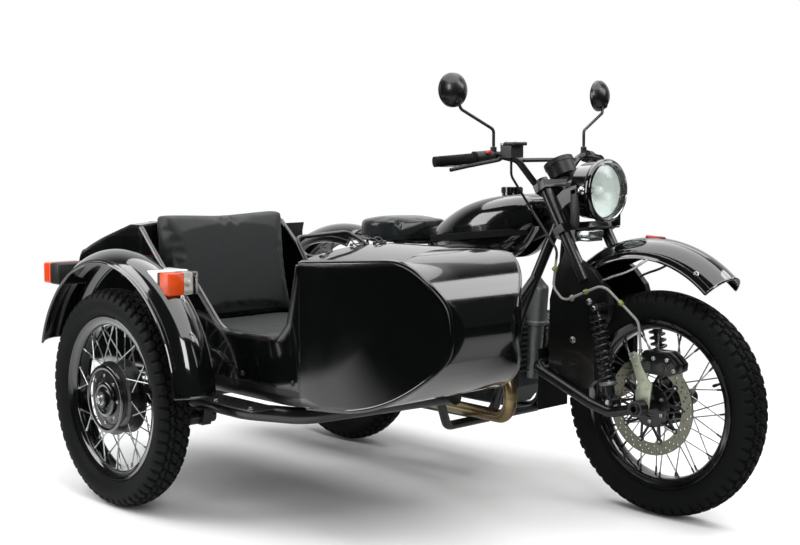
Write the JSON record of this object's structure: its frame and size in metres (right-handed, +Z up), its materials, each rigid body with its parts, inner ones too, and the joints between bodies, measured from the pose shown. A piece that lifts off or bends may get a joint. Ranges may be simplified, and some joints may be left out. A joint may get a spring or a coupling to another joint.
{
  "type": "sidecar motorcycle",
  "caption": "Heavy sidecar motorcycle with leading-link fork, boxer engine, wire wheels and a hollow passenger tub with a hinged trunk lid.",
  "frame": {"origin": "bottom centre of the whole machine's bounding box, on the ground", "axes": "+X forward, the way it drives, +Y left, +Z up; the sidecar is on the right at -Y"},
  "size_m": [2.3003, 1.6236, 1.3489],
  "materials": {
    "gloss_black": "gloss",
    "satin_black": "satin",
    "tyre_rubber": "matte",
    "soft_rubber": "matte",
    "black_plastic": "satin",
    "disc_steel": "brushed",
    "cast_alloy": "as cast",
    "pipe_steel": "polished",
    "clear_glass": "clear",
    "amber_lens": "gloss",
    "vinyl": "satin"
  },
  "bodies": {
    "chassis": {"main_frame": "gloss_black", "fuel_tank": "gloss_black", "tank_cap": "gloss_black", "rear_mudguard": "gloss_black", "swingarm": "gloss_black", "sidecar_nose": "gloss_black", "sidecar_floor": "gloss_black", "sidecar_side_right": "gloss_black", "sidecar_side_left": "gloss_black", "sidecar_tail": "gloss_black", "sidecar_frame": "gloss_black", "sidecar_struts": "gloss_black", "sidecar_mudguard": "gloss_black", "grab_rail": "gloss_black", "rear_shocks": "satin_black", "saddle_base": "satin_black", "footstep": "satin_black", "sidecar_arm": "satin_black", "tail_lamp": "black_plastic", "crankcase": "cast_alloy", "cylinders": "cast_alloy", "carburettors": "cast_alloy", "exhausts": "pipe_steel", "saddle": "vinyl", "sidecar_cushion": "vinyl", "sidecar_backrest": "vinyl", "side_lamps": "amber_lens"},
    "front_wheel": {"front_tyre": "tyre_rubber", "front_rim": "gloss_black", "front_hub": "gloss_black", "brake_disc": "disc_steel"},
    "rear_wheel": {"rear_tyre": "tyre_rubber", "rear_rim": "gloss_black", "rear_hub": "gloss_black"},
    "sidecar_wheel": {"sidecar_tyre": "tyre_rubber", "sidecar_rim": "gloss_black", "sidecar_hub": "gloss_black"},
    "steering": {"fork_clamps": "gloss_black", "fork_legs": "gloss_black", "leading_link": "gloss_black", "front_shocks": "satin_black", "front_mudguard": "gloss_black", "mud_flap": "soft_rubber", "headlamp_shell": "gloss_black", "headlamp_glass": "clear_glass", "instrument_pod": "black_plastic", "handlebar": "gloss_black", "grips": "soft_rubber", "controls": "black_plastic", "mirrors": "gloss_black", "brake_caliper": "satin_black", "brake_hose": "soft_rubber"},
    "lid": {"trunk_lid": "gloss_black"}
  },
  "joints": [
    {"name": "steering_head", "type": "hinge", "parent": "chassis", "child": "steering", "pos_m": [0.40916, 0.39416, 0.92], "axis": [-0.5, 0, 0.866], "range_deg": [-34, 34]},
    {"name": "front_axle_spin", "type": "hinge", "parent": "steering", "child": "front_wheel", "pos_m": [0.80716, 0.39416, 0.343], "axis": [0, 1, 0], "continuous": true},
    {"name": "rear_axle_spin", "type": "hinge", "parent": "chassis", "child": "rear_wheel", "pos_m": [-0.66284, 0.39416, 0.343], "axis": [0, 1, 0], "continuous": true},
    {"name": "sidecar_axle_spin", "type": "hinge", "parent": "chassis", "child": "sidecar_wheel", "pos_m": [-0.43784, -0.74584, 0.343], "axis": [0, 1, 0], "continuous": true},
    {"name": "trunk_hinge", "type": "hinge", "parent": "chassis", "child": "lid", "pos_m": [-0.62584, -0.29584, 0.87749], "axis": [0, 1, 0], "range_deg": [0, 65]}
  ]
}
